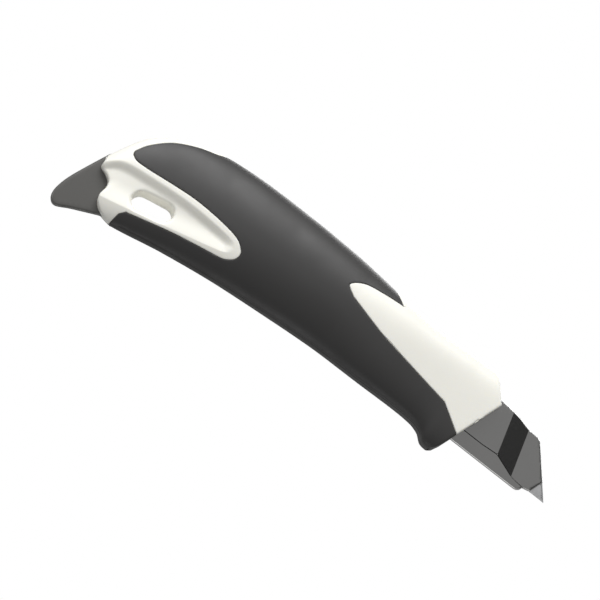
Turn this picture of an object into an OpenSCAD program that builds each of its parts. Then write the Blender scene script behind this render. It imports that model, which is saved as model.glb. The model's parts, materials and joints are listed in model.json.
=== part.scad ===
// Snap-off utility knife with a steel nose, a soft two-part grip and a steel pry tail.
// The knife frame has x along the blade (0 at the tip, handle on the minus side), y towards the
// thumb slider, and z from the cutting edge (0) up to the spine. stand() then tips the whole knife
// nose-down a little, so that it stands on the finger guard and the tail.

/* [Blade] */
// Height of the snap-off blade, from edge to back
blade_w = 18; // [16:0.5:20]
// Thickness of the blade
blade_t = 0.5; // [0.4:0.05:0.6]
// Length of the blade, which sets the length of the handle too
blade_l = 100; // [82:1:120]
// Distance between two score lines
segment = 10; // [8:0.5:12]
// Angle of the blade's end and of the score lines to the cutting edge
end_angle = 50; // [45:1:65]
// Length of blade that stays in the sheath at full reach
keep_in = 40; // [34:1:48]

/* [Handle] */
// Length of handle beyond the length of the blade
tail_room = 68; // [60:1:82]
// Greatest thickness of the handle
grip_w = 25; // [21:0.5:30]
// Thickness of the soft grip
grip_t = 1.6; // [1.2:0.1:2.2]
// Thickness of the hard shell under the grip
shell_wall = 1.8; // [1.4:0.1:2.4]
// Height of the spine's highest point above the sheath
spine_rise = 10.7; // [9:0.1:13]

/* [Sheath] */
// Gauge of the sheath's sheet steel
sheath_t = 0.8; // [0.6:0.05:1]
// Half the inside thickness of the sheath where the carriage runs
channel_half = 1.5; // [1.3:0.05:1.9]
// Half the inside thickness of the sheath's thin front and lower parts
throat_half = 0.35; // [0.32:0.01:0.45]
// Depth of the sheath below the cutting edge
edge_cover = 2.7; // [2.2:0.1:3.3]

/* [Slider and lock] */
// Travel of the thumb slider into and out of the handle
press = 1.2; // [1:0.05:1.4]
// Thickness of the lock plate
plate_t = 1; // [0.8:0.05:1.2]
// Thickness of the notched rack
rack_t = 1; // [0.8:0.05:1.2]
// Distance between two notches of the rack
notch_pitch = 5; // [4:0.5:6]
// Height of the slot that the slider's neck runs in
slot_h = 4.4; // [3.6:0.1:5.2]
// Length of the thumb slider's cap
cap_l = 21; // [17:0.5:25]

/* [Tail] */
// Thickness of the steel tail plate
tail_t = 3; // [2:0.1:4]
// Length of the lanyard hole
eye_l = 17; // [14:0.5:20]
// Height of the lanyard hole
eye_h = 8; // [6:0.25:10]

/* [Fasteners] */
// Diameter of the shell screws
screw_d = 2.4; // [2:0.1:3]
// Diameter of the cross pins
pin_d = 3; // [2.5:0.1:3.6]

/* [Hidden] */
$fn = 48;

// Clearances and helpers
run = 0.1;          // between sliding pieces
seat = 0.03;        // between fixed pieces
big = 60;           // reach of a cutting shape past the knife
thin = 0.01;        // thickness of the slices that hull() joins

// Driving places along the handle
nose_x = -44;
handle_l = blade_l + tail_room;
kx = handle_l / 168;
function at(s) = nose_x - s * kx;
function spot(p) = [at(p[0]), p[1]];

// Sheath
sheath_top = blade_w + 3.2;
sheath_bottom = -edge_cover;
sheath_half = channel_half + sheath_t;
front_half = throat_half + sheath_t;
channel_floor = 2.9;
channel_roof = sheath_top - sheath_t;
sheath_rear = at(126);
stop_l = 4.8;
pin_x = sheath_rear + 2.6;
sheath_pin_half = 6;
// Bend between the thick channel and the thin nose: a point low and a point high on each edge
facet_rear = [[-25.2, 3.3], [-29.5, 19.1]];
facet_front = [[-16, 0.2], [-21, 18.3]];

// Slider, lock and carriage
travel = blade_l - keep_in;
retract = segment;
function sweep(half) = [slider_x - retract - half, slider_x + travel + half];
slider_x = -(blade_l + 32);
slot_z = 11.5;
neck_h = slot_h - 0.4;
neck_l = 14;
boss_l = 20;
boss_h = 5.4;
boss_y = sheath_half - run;
plate_y = sheath_half + 3 * run;
plate_top = plate_y + plate_t;
tooth_y = plate_top + press - 0.05;
tooth_half = 1.05;
notch_half = 1.3;
rack_y = plate_top + press + 2 * run;
floor_y = rack_y + rack_t;
track_y = floor_y + 1.5;
track_h = 12;
track_room = 4;
track_rear = slider_x - retract - cap_l / 2 - track_room;
track_front = slider_x + travel + cap_l / 2 + track_room;
rack_low = slot_z + 3;
rack_high = slot_z + 8.2;
notch_top = rack_low + 2.8;
rivet_z = rack_high - 1.4;
rivet_r = 0.9;
rivet_places = [for (k = [0 : 3]) track_rear + 6 + k * (track_front - track_rear - 12) / 3];
post_gap = 4.6;
post_r = 1.2;
post_top = plate_top + press + 1;
plate_screw_r = 0.9;
plate_screw_head = 1.7;
blade_hole = [5 - blade_l, 9];
blade_hole_r = 1.75;
cap_h = 4.6;
cap_wide = 10.6;
cap_rim = 1.4;

// Tail
eye = [at(142), -4.3];
eye_tilt = 11;
eye_collar = 1.3;
scoop_depth = 1.5;

// Screws are all driven from the slider's side, into bosses of the right shell
screw_spots = [[at(20), blade_w + 6.6], [at(84), blade_w + 8.2], [at(131), 17]];
screw_seat = 4.2;
screw_tip = -6.4;
boss_wall = 1.8;
tail_pin_spots = [[at(154), 4.5], [at(151.5), -12]];
tail_pin_half = 4;

// Lines of the side view: distance behind the nose and height
spine = [[-14, 10.3], [0, 10.2], [16, 9.8], [30, 9.7], [48, 11.3], [64, 13], [80, 13.8], [97, 14],
         [114, 13.8], [128, 12.7], [138, 10.8], [146, 8.2], [154, 3.8], [161, -3.2], [168, -17], [173, -30]];
belly = [[-14, -11.5], [4, -11.5], [7, -11], [10, -8.6], [14, -7.3], [22, -6.9], [40, -7.3],
         [62, -7.8], [85, -9.4], [108, -11.5], [130, -14.7], [150, -18.6], [160, -20.5], [173, -22]];
half_width = [[-14, 0.655], [4, 0.665], [20, 0.72], [42, 0.86], [66, 0.97], [88, 1], [108, 0.97],
              [128, 0.86], [146, 0.72], [160, 0.62], [173, 0.54]];

// Smooth curve through a list of points (Catmull-Rom), used for every line of the handle
function knot(p, i) = p[min(max(i, 0), len(p) - 1)];
function blend(a, b, c, d, t) =
    0.5 * (2 * b + (c - a) * t + (2 * a - 5 * b + 4 * c - d) * t * t + (3 * b - a - 3 * c + d) * t * t * t);
function smooth(p, n) = [for (i = [0 : len(p) - 2]) for (k = [0 : n - 1])
    blend(knot(p, i - 1), p[i], p[i + 1], knot(p, i + 2), k / n)];
function span(p, s, i = 0) = (i >= len(p) - 2 || s < p[i + 1][0]) ? i : span(p, s, i + 1);
function value(p, s) =
    let (i = span(p, s), t = (s - p[i][0]) / (p[i + 1][0] - p[i][0]))
    blend(knot(p, i - 1)[1], p[i][1], p[i + 1][1], knot(p, i + 2)[1], t);

function spine_z(s) = sheath_top + (value(spine, s) - 3.2) * spine_rise / 10.8;
function belly_z(s) = value(belly, s);
function half_w(s) = value(half_width, s) * grip_w / 2;
function squareness(s) = 2.3 + 1.9 * max(0, 1 - max(s, 0) / 60);

// Half of one cross-section, from the belly round the side to the spine. An inset one is a
// cutting shape, so it reaches a little past the parting plane.
function power(v, n) = sign(v) * pow(abs(v), 2 / n);
function half_ring(s, inset) =
    let (top = spine_z(s) - inset, low = max(belly_z(s) + inset, -big), n = squareness(s),
         mid = (top + low) / 2, high = max((top - low) / 2, 0.2), wide = max(half_w(s) - inset, 0.2))
    [for (i = [0 : 14]) let (a = -90 + i * 180 / 14)
        [at(s), i % 14 == 0 ? -sign(inset) : wide * power(cos(a), n), mid + high * power(sin(a), n)]];

// Cross-sections are closer together round the finger guard and at the tail
stations = concat([for (s = [-12 : 2 : 22]) s], [for (s = [27 : 5.7 : 141]) s],
                  [for (s = [144 : 3 : 171]) s]);

// Left half of the handle as a chain of hulls between cross-sections, inset all round
module half_body(inset) {
    for (i = [0 : len(stations) - 2])
        hull() {
            a = half_ring(stations[i], inset);
            b = half_ring(stations[i + 1], inset);
            polyhedron(points = concat(a, b), faces = [[for (k = [0 : len(a) + len(b) - 1]) k]]);
        }
}

// Side outlines, as distance behind the nose and height
nose_edge = [[-14, 40], [0.7, 40], [0.7, 28.2], [-1.4, 27], [-8.5, 18.3], [-2.2, 0.4], [0.3, -6.7],
             [1.8, -10], [3.5, -11.6], [3.5, -30]];
tail_edge = smooth([[151, -30], [151, -19], [153, -18.3], [156.2, -17.4], [159, -15.6], [160.5, -12.9],
                    [160.3, -9.2], [161.2, -6.4], [163.6, -4.6], [166.8, -3.1], [167.5, 0.6],
                    [173, 12], [173, 40]], 3);
nose_border = concat([[-2.2, -1.8]],
                     smooth([[9.6, 5.6], [26, 8.1], [44.8, 11.2], [61, 15.3]], 4),
                     smooth([[61, 15.3], [65, 18.3], [60.4, 22.3], [52, 24.1], [43.6, 25.1]], 4),
                     smooth([[43.6, 25.1], [49.5, 29.2], [55, 31], [62, 36]], 3));
back_border = concat(smooth([[124, 36], [133, 29], [142, 25.7], [151, 20.8], [157.5, 14], [160.3, 8.8]], 4),
                     smooth([[159.3, 6.9], [154, 5.9], [131, 7.5], [112, 5.9], [105.4, 2.6], [104.9, -1],
                             [108.2, -3.7], [112.6, -4.7]], 4),
                     smooth([[112.6, -4.7], [129.5, -7.6], [148.5, -12.1]], 4),
                     [[150.3, -14.2], [151.2, -30]]);
scoop = smooth([[163, 4], [150, 4.4], [131, 5.3], [112, 3.9], [108, 1.6], [109.6, -1.4], [114, -2.6],
                [131, -6.4], [149, -10.2], [157, -11.8], [160, -6], [163, 4]], 4);
tail_plate = concat(smooth([[167.4, 3], [172.2, -8.6], [174.6, -15.5], [175.4, -21], [174.4, -24.3],
                            [171.5, -25.6], [166, -22.8], [156.6, -18.4]], 4),
                    [[150, -15.8], [134, -11.5], [128.8, -7], [128.8, 3], [133, 8], [158, 9], [165, 6]]);

// Shapes: an outline right through the knife, an outline or a round between two y, and a block
// between two x, two y and two z
module side(points) rotate([90, 0, 0]) linear_extrude(2 * big, center = true)
    polygon([for (p = points) spot(p)]);
module along_y(from, to) translate([0, to, 0]) rotate([90, 0, 0]) linear_extrude(to - from) children();
module bore(p, r, from, to) translate([p[0], from, p[1]]) rotate([-90, 0, 0]) cylinder(r = r, h = to - from);
module bar(x, y, z) translate([x[0], y[0], z[0]]) cube([x[1] - x[0], y[1] - y[0], z[1] - z[0]]);
function around(middle, half) = [middle - half, middle + half];

module left_block() intersection() {
    half_body(0);
    side(concat(nose_edge, tail_edge));
}

// Stretch of bare shell that the track lies in, from its rear end forward to the nose
module track_band() bar([track_rear - 2, big], [0, big], around(slot_z, track_h / 2 + 1.6));

module screw_bores(r) for (p = screw_spots) bore(p, r, screw_seat, big);

// Where the soft grip goes: everything outside its core, inside its side outline
module grip_zone() difference() {
    side(concat([[-14, -30], [-14, -1.8]], nose_border, back_border));
    difference() {
        half_body(grip_t);
        bar([at(18), big], [-1, big], [-big, sheath_bottom - 0.5]);
    }
}

// Soft grip: a skin over the shell, solid where it fills the finger guard
module grip_skin() intersection() {
    left_block();
    grip_zone();
}

module eye_shape(grow) translate(eye) rotate(eye_tilt)
    for (end = [-1, 1]) {
        translate([end * (eye_l - eye_h) / 2, 0]) circle(r = eye_h / 2 + grow);
        square([eye_l - eye_h, eye_h + 2 * grow], center = true);
    }

// What both shells share: skin, ribs, screw bosses and the collar of the lanyard hole.
// Its children are solid places that the hollow leaves standing.
module shell_half() difference() {
    left_block();
    difference() {
        intersection() {
            half_body(grip_t + shell_wall);
            bar([at(124), at(6)], [-1, big], [-big, big]);
        }
        for (s = [22 : 19 : 120]) bar(around(at(s), 1), [-1, big], [-big, big]);
        for (p = screw_spots) bore(p, screw_d / 2 + boss_wall, -1, big);
        children();
    }
    difference() {
        side(scoop);
        half_body(scoop_depth);
    }
    bar([sheath_rear - run, big], [-1, sheath_half + seat], [sheath_bottom - run, sheath_top + run]);
    difference() {
        along_y(-1, tail_t / 2 + seat) offset(delta = 0.2) polygon([for (p = tail_plate) spot(p)]);
        along_y(-2, big) eye_shape(eye_collar);
    }
    along_y(-1, big) eye_shape(0);
    for (p = tail_pin_spots) bore(p, pin_d / 2 + seat, -1, tail_pin_half + 0.2);
    bore([pin_x, slot_z], pin_d / 2 + seat, -1, sheath_pin_half + 0.1);
    for (p = screw_spots) bore(p, screw_d / 2 + run, -1, 0.4 - screw_tip);
}

module right_grip() color("#3d3c39") mirror([0, 1, 0]) grip_skin();

module left_grip() color("#3d3c39") difference() {
    grip_skin();
    track_band();
    screw_bores(screw_d + 0.5);
}

module right_shell() color("#efeee6") mirror([0, 1, 0]) difference() {
    shell_half();
    grip_zone();
}

module left_shell() color("#efeee6") difference() {
    shell_half()
        bar([track_rear - 3, track_front + 3], [floor_y, track_y + 4], around(slot_z, track_h / 2 + 3.2));
    difference() {
        grip_zone();
        track_band();
    }
    bar([track_rear - 3, track_front + 1], [sheath_half, floor_y], [slot_z - 5, rack_high + 0.4]);
    hull() for (x = [track_rear + track_h / 2, track_front - track_h / 2])
        bore([x, slot_z], track_h / 2, track_y, big, $fn = 32);
    bar(sweep(neck_l / 2 + 1), [floor_y - 1, big], around(slot_z, slot_h / 2));
    for (x = rivet_places) bore([x, rivet_z], rivet_r + seat, floor_y - 1, floor_y + 1.1);
    screw_bores(screw_d + 0.3);
}

// Formed sheath: thick channel for the carriage, thin nose, sloping bend between them
function end_x(z) = -z / tan(end_angle);
function edge_x(line, z) =
    line[0][0] + (line[1][0] - line[0][0]) * (z - line[0][1]) / (line[1][1] - line[0][1]);
function low_to_high(line, low, shift = 0) =
    [[edge_x(line, low) + shift, low], [edge_x(line, sheath_top) + shift, sheath_top]];
function slice(line, low, step) =
    concat(low_to_high(line, low), [for (i = [1, 0]) low_to_high(line, low, step)[i]]);

module sheath_outline() polygon(concat(
    [[sheath_rear, sheath_bottom], [-12.4, sheath_bottom]],
    [for (a = [-60 : 30 : 0]) [-12.4 + 2.4 * cos(a), sheath_bottom + 2.2 + 2.2 * sin(a)]],
    [[-6.9, 0.2], [end_x(5.9), 5.9], [end_x(blade_w), blade_w], [-16.6, blade_w + 0.7],
     [-21.2, blade_w + 0.9], [-26.1, sheath_top - 1.1], [-32.2, sheath_top - 0.4], [-37.5, sheath_top],
     [sheath_rear, sheath_top]]));

// Outer form of the sheath, before its outline is cut
module sheath_form() {
    along_y(-sheath_half, sheath_half) polygon(concat(
        [[sheath_rear, sheath_top], [sheath_rear, channel_floor]], low_to_high(facet_rear, channel_floor)));
    along_y(-front_half, front_half) polygon(concat(low_to_high(facet_front, sheath_bottom),
        [[0, sheath_top], [0, sheath_bottom]]));
    hull() for (y = [-1, 1]) {
        bar([sheath_rear, edge_x(facet_rear, channel_floor)], around(y * sheath_half, thin),
            [channel_floor - thin, channel_floor]);
        bar([sheath_rear, edge_x(facet_front, sheath_bottom)], around(y * front_half, thin),
            [sheath_bottom, sheath_bottom + thin]);
    }
    hull() {
        along_y(-sheath_half, sheath_half) polygon(slice(facet_rear, channel_floor, -thin));
        along_y(-front_half, front_half) polygon(slice(facet_front, sheath_bottom, thin));
    }
}

module blade_sheath() color("#6b6a67") difference() {
    intersection() {
        sheath_form();
        along_y(-big, big) sheath_outline();
    }
    bar([sheath_rear - 1, facet_rear[1][0] - 1], around(0, channel_half),
        [channel_floor + run, channel_roof]);
    bar([sheath_rear - 1, 1], around(0, throat_half), [sheath_bottom + sheath_t, blade_w + run]);
    bar(sweep(boss_l / 2 + 1), [0, sheath_half + 1], around(slot_z, boss_h / 2 + 0.2));
    bore([pin_x, slot_z], pin_d / 2 + seat, -big, big);
}

module rear_stop() color("#55534f") difference() {
    bar([sheath_rear + 0.2, sheath_rear + 0.2 + stop_l], around(0, channel_half - seat),
        [channel_floor + 0.2, channel_roof - seat]);
    bore([pin_x, slot_z], pin_d / 2 + seat, -big, big);
}

module sheath_pin() color("#b9bab8") bore([pin_x, slot_z], pin_d / 2, -sheath_pin_half, sheath_pin_half);

// Arched leaf between the sheath's roof and the back of the blade
module nose_spring() color("#b4b6b8") {
    leaf = 0.25;
    rise = channel_roof - blade_w - leaf - 0.1;
    arch = [for (i = [0 : 12]) [-50 + i * 16 / 12, blade_w + 0.06 + rise * pow(cos(i * 15), 2)]];
    along_y(-1.1, 1.1) polygon(concat(arch, [for (i = [12 : -1 : 0]) arch[i] + [0, leaf]]));
}

// Notched rack and its rivets
module lock_rack() color("#8b8d8e") difference() {
    bar([track_rear - 1.5, track_front - 1], [rack_y, floor_y - seat], [rack_low, rack_high]);
    for (x = [slider_x - retract : notch_pitch : slider_x + travel])
        bar(around(x, notch_half), [rack_y - 1, floor_y + 1], [rack_low - 1, notch_top]);
    for (x = rivet_places) bore([x, rivet_z], rivet_r + seat, rack_y - 1, floor_y + 1);
}

module rack_rivets() color("#b9bab8") for (x = rivet_places) {
    bore([x, rivet_z], rivet_r, rack_y - seat, floor_y + 1);
    bore([x, rivet_z], 1.5 * rivet_r, rack_y - 0.4, rack_y - seat);
}

module tail_fin() color("#5e5d5b") difference() {
    along_y(-tail_t / 2, tail_t / 2) polygon([for (p = tail_plate) spot(p)]);
    along_y(-big, big) eye_shape(eye_collar + seat);
    for (p = tail_pin_spots) bore(p, pin_d / 2 + seat, -big, big);
}

module tail_pins() color("#b9bab8") for (p = tail_pin_spots)
    bore(p, pin_d / 2, -tail_pin_half, tail_pin_half);

module shell_screws() color("#3a3b3d") for (p = screw_spots) difference() {
    union() {
        bore(p, screw_d / 2, screw_tip, screw_seat);
        bore(p, screw_d, screw_seat, screw_seat + 1.6);
    }
    for (turn = [0, 90]) translate([p[0], screw_seat + 1.2, p[1]]) rotate([0, turn, 0])
        cube([0.7, 1.4, 2.6], center = true);
}

// Snap-off blade: ground edge, score lines on one face, hole near its tail
module snap_blade() color("#d2d4d6") difference() {
    along_y(-blade_t / 2, blade_t / 2)
        polygon([[0, 0], [end_x(blade_w), blade_w], [-blade_l, blade_w], [-blade_l, 0]]);
    for (y = [-1, 1]) translate([-blade_l - 1, 0, 0]) rotate([90, 0, 90]) linear_extrude(blade_l + 2)
        polygon([[y * 0.03, -0.1], [y * blade_t / 2, 2.2], [y * blade_t, 2.2], [y * blade_t, -0.1]]);
    for (k = [1 : floor(blade_l / segment) - 2]) along_y(-blade_t, 0.08 - blade_t / 2)
        polygon([for (p = [[-0.12, -1], [0.12, -1], [0.12, blade_w + 1], [-0.12, blade_w + 1]])
            [p[0] - k * segment + end_x(p[1]), p[1]]]);
    bore(blade_hole, blade_hole_r, -1, 1);
}

// Carriage: forked arm that takes the tail of the blade, block that runs in the channel, and boss
module blade_carriage() color("#4a4b4c") difference() {
    side_half = channel_half - run;
    union() {
        bar([-blade_l - 12, -blade_l + 9], around(0, side_half), [channel_floor + 0.3, blade_w - 0.5]);
        bar([-blade_l - 44, -blade_l - 12], around(0, side_half), [channel_floor + 0.3, channel_roof - run]);
        bar(around(slider_x, boss_l / 2), [0, boss_y], around(slot_z, boss_h / 2));
    }
    difference() {
        bar([-blade_l - seat, big], around(0, blade_t / 2 + seat), [-big, big]);
        bore(blade_hole, blade_hole_r - seat, -1, 1);
    }
    for (end = [-1, 1]) bore([slider_x + end * post_gap, slot_z], post_r + seat, -1, big);
}

module guide_posts() color("#b9bab8") for (end = [-1, 1])
    bore([slider_x + end * post_gap, slot_z], post_r, -1, post_top);

module press_spring() color("#b4b6b8") difference() {
    bar(around(slider_x, boss_l / 2 - 1), [boss_y + seat, boss_y + 0.28], around(slot_z, boss_h / 2 - 0.5));
    for (end = [-1, 1]) bore([slider_x + end * post_gap, slot_z], post_r + run, -big, big);
    bore([slider_x, slot_z], 2, -big, big);
}

// Plate under the slider: its tooth drops into the rack when the slider is let go
module lock_plate() color("#8b8d8e") difference() {
    union() {
        bar(around(slider_x, neck_l / 2 + 1), [plate_y, plate_top], [slot_z - 3.6, slot_z + 2.4]);
        bar(around(slider_x, tooth_half), [plate_y, plate_top], [slot_z, notch_top - 0.3]);
        bar(around(slider_x, tooth_half), [plate_y, tooth_y], [rack_low + 0.7, notch_top - 0.3]);
    }
    for (end = [-1, 1]) bore([slider_x + end * post_gap, slot_z], post_r + run, -big, big);
    bore([slider_x, slot_z], plate_screw_r + seat, -big, big);
    bore([slider_x, slot_z], plate_screw_head + seat, -big, plate_y + 0.5);
}

module plate_screws() color("#3a3b3d") {
    bore([slider_x, slot_z], plate_screw_r, plate_y, plate_top + 3.4);
    bore([slider_x, slot_z], plate_screw_head, plate_y, plate_y + 0.5 - seat);
}

// Outline of the cap along the knife: low front, dished middle for the thumb, raised rear
function cap_height(t) = cap_h - 1.5 * pow(sin(180 * t), 2) - 0.9 * t;
module cap_outline(from, to, drop, rise) {
    steps = [for (i = [0 : 10]) from + (to - from) * i / 10];
    polygon(concat([for (t = steps) [(t - 0.5) * cap_l, drop == undef ? 0 : cap_height(t) - drop]],
                   [for (i = [10 : -1 : 0]) [(steps[i] - 0.5) * cap_l, cap_height(steps[i]) + rise]]));
}
module on_cap(half) translate([slider_x, track_y + run, slot_z - half]) linear_extrude(2 * half) children();

module thumb_slider() color("#2f3031") difference() {
    union() {
        on_cap(cap_wide / 2) cap_outline(0, 1, undef, 0);
        bar(around(slider_x, neck_l / 2), [plate_top + seat, track_y + run + 0.5],
            around(slot_z, neck_h / 2));
    }
    on_cap(cap_wide / 2 - cap_rim) cap_outline(0.12, 0.88, 0.8, 1);
    for (end = [-1, 1]) bore([slider_x + end * post_gap, slot_z], post_r + run, 0, post_top + run);
    bore([slider_x, slot_z], plate_screw_r + seat, 0, plate_top + 3.5);
}

// Rubber insert in the cap, with cross ridges
module slider_ribs() color("#6f706e") {
    ridges = 6;
    on_cap(cap_wide / 2 - cap_rim - seat) {
        cap_outline(0.125, 0.875, 0.75, 0.1);
        for (k = [0 : ridges - 1]) {
            t = 0.17 + 0.66 * k / (ridges - 1);
            translate([(t - 0.5) * cap_l, cap_height(t)]) square([1.3, 1.4], center = true);
        }
    }
}

// The knife stands on its finger guard and the tip of its tail plate
guard_foot = [at(4), -11.5];
tail_foot = [at(171.5), -25.6];
dip = atan((guard_foot[1] - tail_foot[1]) / (guard_foot[0] - tail_foot[0]));
floor_z = guard_foot[1] * cos(dip) - guard_foot[0] * sin(dip);
rear_x = at(175.4) * cos(dip) - 21 * sin(dip);
module stand() translate([-rear_x / 2, 0, -floor_z]) rotate([0, dip, 0]) children();

stand() right_shell();
stand() left_shell();
stand() right_grip();
stand() left_grip();
stand() blade_sheath();
stand() rear_stop();
stand() sheath_pin();
stand() nose_spring();
stand() lock_rack();
stand() rack_rivets();
stand() tail_fin();
stand() tail_pins();
stand() shell_screws();
stand() snap_blade();
stand() blade_carriage();
stand() guide_posts();
stand() press_spring();
stand() thumb_slider();
stand() slider_ribs();
stand() lock_plate();
stand() plate_screws();
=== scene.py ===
# %% [markdown]
# # A snap-off utility knife
# The knife has a steel nose sheath, a hard ivory handle in two shells with a soft dark grip over it, a
# thumb slider on its left side and a steel pry plate at its tail. The CAD model fixes where everything
# is. This script gives each piece its finished surface, with rounded edges, seams and a material of its
# own, and it starts by loading the CAD model as a frame that isn't moved.

# %% Load the frame
import json
import math

import bmesh
import bpy
import numpy as np
from mathutils import Matrix, Vector, geometry


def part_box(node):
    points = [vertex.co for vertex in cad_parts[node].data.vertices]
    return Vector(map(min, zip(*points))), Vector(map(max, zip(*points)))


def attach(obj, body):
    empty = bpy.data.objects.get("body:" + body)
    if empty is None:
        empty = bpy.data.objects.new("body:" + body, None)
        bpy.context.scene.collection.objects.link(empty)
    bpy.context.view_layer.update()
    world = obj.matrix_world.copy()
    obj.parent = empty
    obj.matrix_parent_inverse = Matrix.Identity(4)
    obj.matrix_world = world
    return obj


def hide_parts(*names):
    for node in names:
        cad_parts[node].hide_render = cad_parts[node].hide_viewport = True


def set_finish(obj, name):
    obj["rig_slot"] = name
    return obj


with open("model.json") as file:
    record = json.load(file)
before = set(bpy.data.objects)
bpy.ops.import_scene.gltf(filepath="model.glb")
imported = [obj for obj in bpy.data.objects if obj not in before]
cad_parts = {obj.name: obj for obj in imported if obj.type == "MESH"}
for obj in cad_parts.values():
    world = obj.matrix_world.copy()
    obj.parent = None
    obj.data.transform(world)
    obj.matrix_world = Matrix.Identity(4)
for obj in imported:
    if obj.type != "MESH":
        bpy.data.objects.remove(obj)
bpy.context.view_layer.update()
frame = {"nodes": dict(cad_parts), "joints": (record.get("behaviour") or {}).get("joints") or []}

# %% [markdown]
# The knife is drawn lying along its own blade: x is 0 at the blade's tip and runs back into the handle
# as minus, y points to the slider's side, and z is 0 at the cutting edge. All of that is in millimetres.
# On the table the knife tips down a little at the nose. The slide joint's axis says by how much, and the
# blade's own box says where the tip is, so nothing is fitted by eye.

# %% From knife millimetres to the frame
MM = 0.001
slide = next(j for j in frame["joints"] if j["name"] == "blade_slide")
AHEAD = Vector(slide["axis"]).normalized()
UP = Vector((-AHEAD.z, 0, AHEAD.x))
blade_low, blade_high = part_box("snap_blade")
TIP = Vector((blade_high.x, 0, blade_low.z))


def to_frame(points):
    """Knife points (x, y, z) in mm as frame points in metres."""
    p = np.asarray(points, float) * MM
    return np.outer(p[:, 0], AHEAD) + np.outer(p[:, 1], (0, 1, 0)) + np.outer(p[:, 2], UP) + np.array(TIP)


print("nose points down by", round(math.degrees(math.atan2(-AHEAD.z, AHEAD.x)), 2), "degrees")

# %% [markdown]
# Every outline of a hand tool is a fair curve through a few chosen points. Bezier handles could do it,
# but a Catmull-Rom curve passes through its points with no handles to set, and two short functions give
# either the curve itself or its height at one place. Lines of the handle are given as the distance
# behind the nose, s, and the height, z.

# %% Curves through points
NOSE_X = -44.0


def between(a, b, c, d, t):
    """The Catmull-Rom curve from b to c, as t goes from 0 to 1."""
    return 0.5 * (2 * b + (c - a) * t + (2 * a - 5 * b + 4 * c - d) * t**2 + (3 * b - a - 3 * c + d) * t**3)


def smooth(points, steps):
    """Points along the curve through the given ones, without its last point."""
    p = np.array([points[0], *points, points[-1]], float)
    t = np.arange(steps)[:, None] / steps
    return np.concatenate([between(a, b, c, d, t) for a, b, c, d in zip(p, p[1:], p[2:], p[3:])])


def height(points, s):
    """Second coordinate of the curve at s."""
    p = np.array([points[0], *points, points[-1]], float)
    i = np.clip(np.searchsorted(p[1:-1, 0], s, side="right") - 1, 0, len(points) - 2)
    t = (s - p[i + 1, 0]) / (p[i + 2, 0] - p[i + 1, 0])
    return between(p[i, 1], p[i + 1, 1], p[i + 2, 1], p[i + 3, 1], t)


SPINE = [(-14, 10.3), (0, 10.2), (16, 9.8), (30, 9.7), (48, 11.3), (64, 13), (80, 13.8), (97, 14),
         (114, 13.8), (128, 12.7), (138, 10.8), (146, 8.2), (154, 3.8), (161, -3.2), (168, -17), (173, -30)]
BELLY = [(-14, -11.5), (4, -11.5), (7, -11), (10, -8.6), (14, -7.3), (22, -6.9), (40, -7.3), (62, -7.8),
         (85, -9.4), (108, -11.5), (130, -14.7), (150, -18.6), (160, -20.5), (173, -22)]
HALF_WIDTH = [(-14, 0.655), (4, 0.665), (20, 0.72), (42, 0.86), (66, 0.97), (88, 1), (108, 0.97), (128, 0.86),
              (146, 0.72), (160, 0.62), (173, 0.54)]
GRIP_HALF = 12.5
SHEATH_TOP, SHEATH_LOW = 21.2, -2.7
SPINE_START, SPINE_RISE = 3.2, 10.7 / 10.8

# %% [markdown]
# The body is a loft: at each s its half-section is a superellipse, squarer at the nose and rounder at the
# tail. Its back follows the spine's curve, measured up from the sheath's top edge. To lay borders and
# mesh on it evenly, the skin is unrolled. A flat point is (s, v), where v is the distance along the skin
# from the middle of the side. Tables made once turn flat points into places and normals, and side-view
# points into flat ones.

# %% The unrolled body
TABLE_STEP, COLUMNS = 0.5, 241
TABLE_S = np.arange(-12, 173.01, TABLE_STEP)
TABLE_A = np.radians(np.linspace(-90, 90, COLUMNS))
SHARES = np.linspace(0, 1, COLUMNS)
TAIL_POWER, NOSE_EXTRA, NOSE_FADE = 2.3, 1.9, 60


def power(v, n):
    return np.sign(v) * np.abs(v) ** (2 / n)


top = SHEATH_TOP + (height(SPINE, TABLE_S) - SPINE_START) * SPINE_RISE
low = height(BELLY, TABLE_S)
wide = height(HALF_WIDTH, TABLE_S) * GRIP_HALF
square = TAIL_POWER + NOSE_EXTRA * np.clip(1 - np.clip(TABLE_S, 0, None) / NOSE_FADE, 0, None)
mid, half = (top + low) / 2, np.maximum((top - low) / 2, 0.2)
ring_y = wide[:, None] * power(np.cos(TABLE_A), square[:, None])
ring_y[:, [0, -1]] = 0
ring_z = mid[:, None] + half[:, None] * power(np.sin(TABLE_A), square[:, None])
step = np.hypot(np.diff(ring_y), np.diff(ring_z))
arc = np.concatenate([np.zeros((len(TABLE_S), 1)), np.cumsum(step, 1)], 1)
girth = arc[:, -1]
share_at = arc / girth[:, None]
mid_share = share_at[:, len(TABLE_A) // 2]
skin_y = np.array([np.interp(SHARES, q, y) for q, y in zip(share_at, ring_y)])
skin_z = np.array([np.interp(SHARES, q, z) for q, z in zip(share_at, ring_z)])
grid = np.stack([NOSE_X - np.repeat(TABLE_S[:, None], len(SHARES), 1), skin_y, skin_z], 2)
skin_normal = np.cross(np.gradient(grid, axis=0), np.gradient(grid, axis=1))
skin_normal[:, [0, -1], 1] = 0
skin_normal /= np.linalg.norm(skin_normal, axis=2)[:, :, None]


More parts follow.
